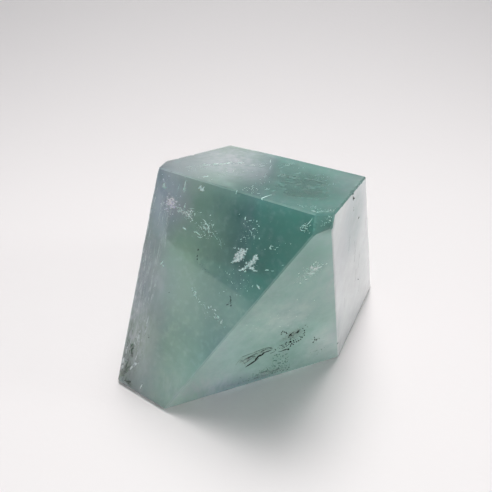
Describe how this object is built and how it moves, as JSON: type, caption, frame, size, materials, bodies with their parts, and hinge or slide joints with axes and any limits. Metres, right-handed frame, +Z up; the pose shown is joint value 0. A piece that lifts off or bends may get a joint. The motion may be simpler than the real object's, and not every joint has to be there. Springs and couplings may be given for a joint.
{
  "type": "fluorite polyhedron",
  "caption": "Freeform polished fluorite polyhedron: one see-through green and lavender banded stone with flat cut faces and lightly broken edges, standing on a flat bed face.",
  "frame": {"origin": "middle of the stone's footprint box, on the flat bed face that it stands on", "axes": "+Z up from the bed face, -Y towards the broad front faces, +X towards the narrow right face; the longest side of the box is along Y, because the back slopes away, and the shortest is the height"},
  "size_m": [0.0488, 0.0544, 0.0391],
  "materials": {
    "polished_fluorite": "clear green fluorite with paler lavender bands, lapped and polished; IOR 1.434"
  },
  "bodies": {
    "root": {"fluorite_polyhedron": "polished_fluorite"}
  },
  "joints": []
}
